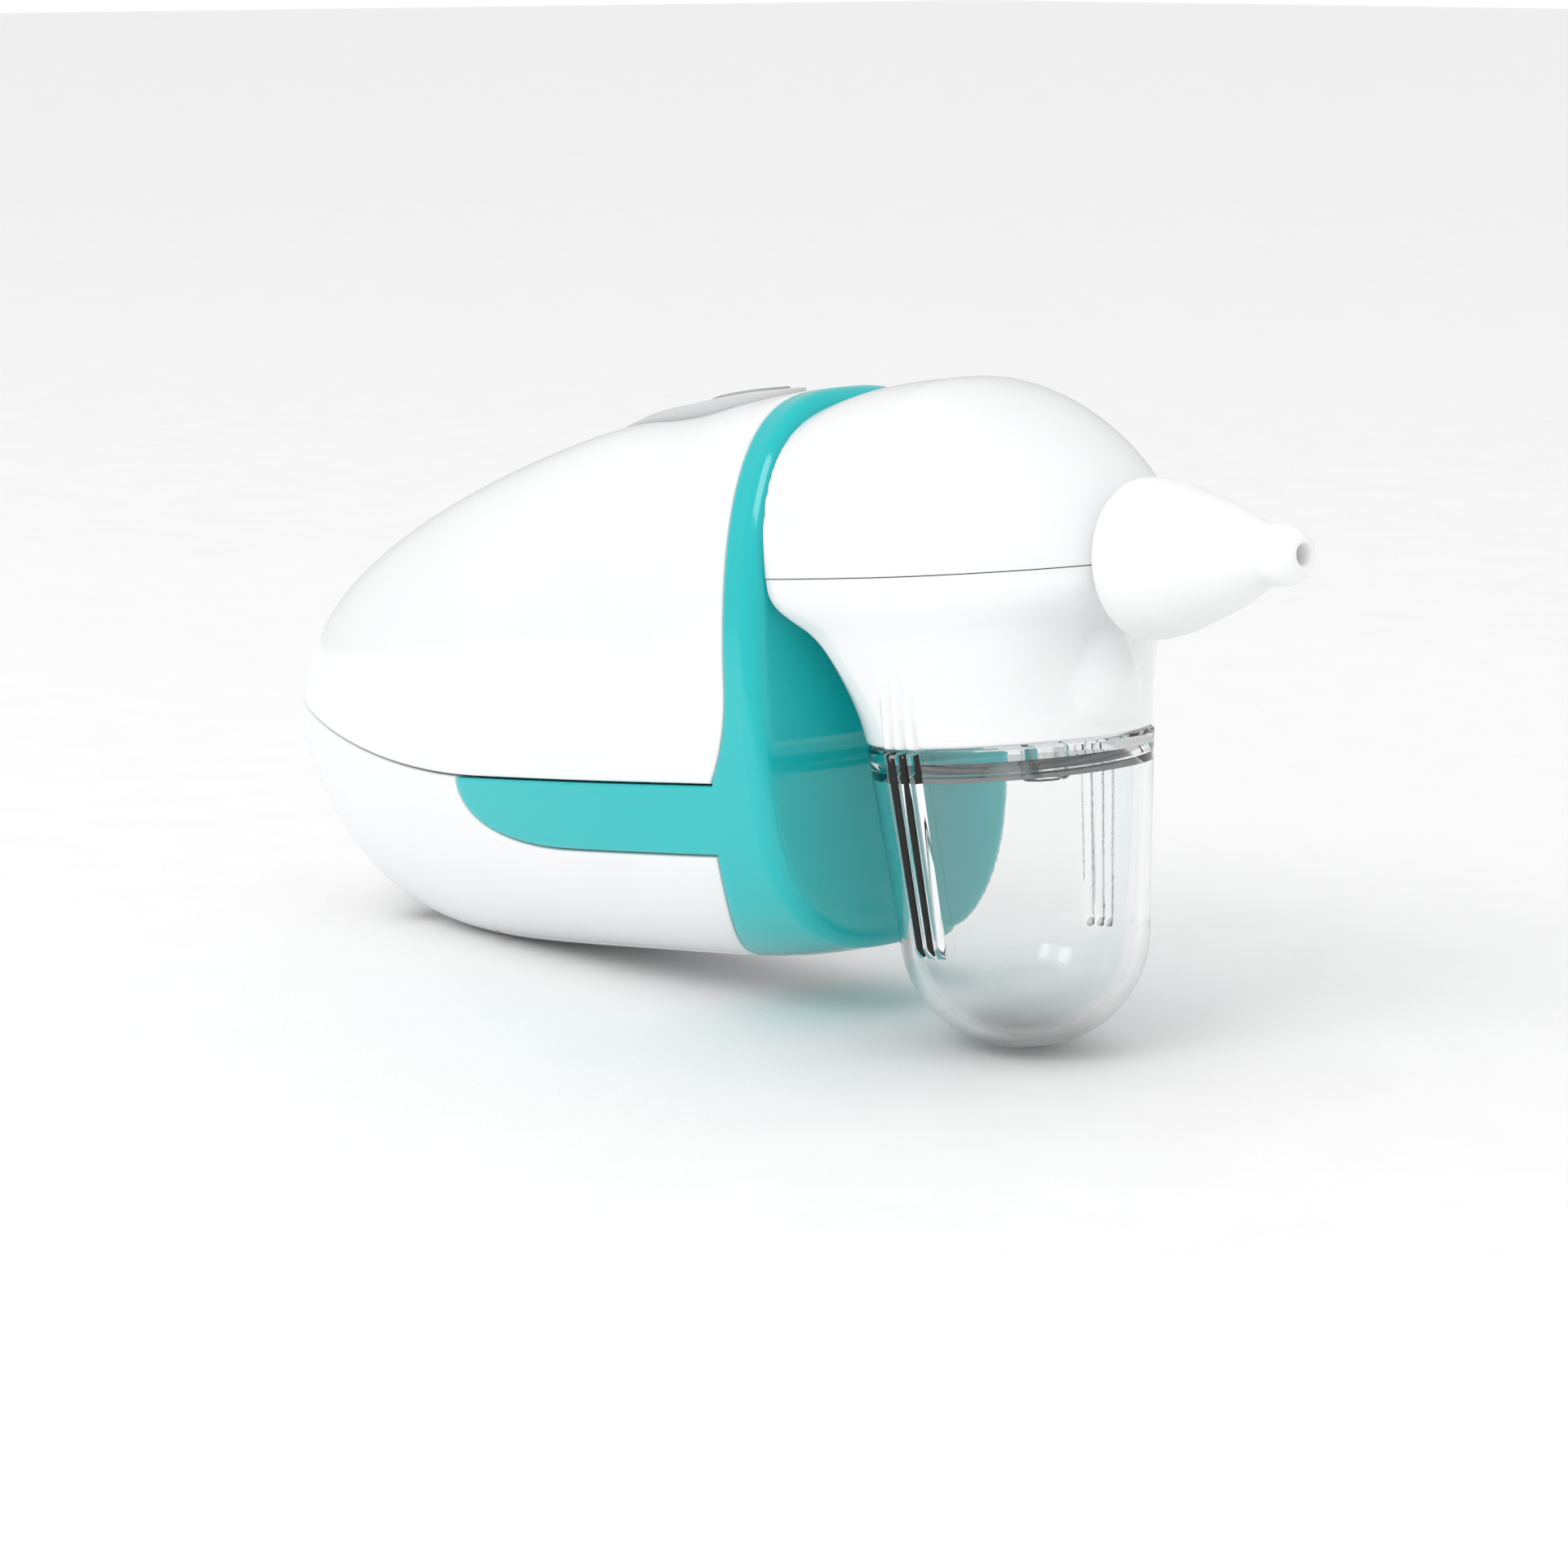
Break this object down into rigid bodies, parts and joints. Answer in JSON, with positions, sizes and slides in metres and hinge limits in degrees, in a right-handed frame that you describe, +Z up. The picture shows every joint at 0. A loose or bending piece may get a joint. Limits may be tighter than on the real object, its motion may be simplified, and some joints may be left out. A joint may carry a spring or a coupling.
{
  "type": "nasal aspirator",
  "caption": "Handheld battery nasal aspirator with a whale-shaped pod, soft silicone tip and clear collection cup.",
  "frame": {"origin": "centre of the object's bounding box, on the surface it rests on", "axes": "+X towards the soft tip, +Y to the object's left, +Z up with the object resting on its cup and heel"},
  "size_m": [0.1732, 0.0414, 0.0763],
  "materials": {
    "gloss_white": "gloss",
    "satin_white": "satin",
    "teal": "gloss",
    "clear": "clear gloss",
    "silicone": "matte",
    "grey": "satin",
    "light_grey": "satin",
    "dark": "matte",
    "steel": "satin",
    "motor_can": "satin",
    "brass": "satin",
    "board": "satin",
    "cell_skin": "gloss",
    "red": "matte"
  },
  "bodies": {
    "pod": {"upper_shell": "gloss_white", "lower_shell": "satin_white", "front_frame": "teal", "head_cover": "gloss_white", "head_base": "gloss_white", "nozzle_spigot": "gloss_white", "cup_seal": "silicone", "inlet_tube": "clear", "check_valve": "silicone", "suction_port": "light_grey", "suction_hose": "silicone", "pump_head": "light_grey", "pump_body": "dark", "pump_diaphragm": "dark", "motor": "motor_can", "circuit_board": "board", "power_switch": "dark", "level_switch": "dark", "button_bezel": "light_grey", "chassis": "satin_white", "battery_left": "cell_skin", "battery_right": "cell_skin", "spring_left": "steel", "spring_right": "steel", "contact_bridge": "brass", "contact_positive": "brass", "contact_negative": "brass", "head_screw_left": "steel", "head_screw_right": "steel", "rear_screw_left": "steel", "rear_screw_right": "steel", "board_screw_left": "steel", "board_screw_right": "steel", "motor_lead_red": "red", "motor_lead_black": "dark", "battery_lead_red": "red", "battery_lead_black": "dark"},
    "power_button": {"power_button": "grey"},
    "level_button": {"level_button": "light_grey"},
    "tip": {"silicone_tip": "silicone"},
    "cup": {"collection_cup": "clear"},
    "door": {"battery_door": "satin_white"},
    "motor_shaft": {"motor_shaft": "steel", "eccentric": "brass"}
  },
  "joints": [
    {"name": "power_press", "type": "slide", "parent": "pod", "child": "power_button", "axis": [0.1167, 0, -0.9932], "range_m": [0, 0.0008], "stiffness_N_per_m": 300},
    {"name": "level_press", "type": "slide", "parent": "pod", "child": "level_button", "axis": [0.1167, 0, -0.9932], "range_m": [0, 0.0008], "stiffness_N_per_m": 300},
    {"name": "tip_pull", "type": "slide", "parent": "pod", "child": "tip", "axis": [0.9932, 0, 0.1167], "range_m": [0, 0.02]},
    {"name": "cup_pull", "type": "slide", "parent": "pod", "child": "cup", "axis": [0.1167, 0, -0.9932], "range_m": [0, 0.03]},
    {"name": "door_hinge", "type": "hinge", "parent": "pod", "child": "door", "pos_m": [0.00738, 0, 0.00557], "axis": [0, -1, 0], "range_deg": [0, 60]},
    {"name": "shaft_spin", "type": "hinge", "parent": "pod", "child": "motor_shaft", "pos_m": [-0.02433, 0, 0.03728], "axis": [0.9932, 0, 0.1167], "continuous": true}
  ]
}
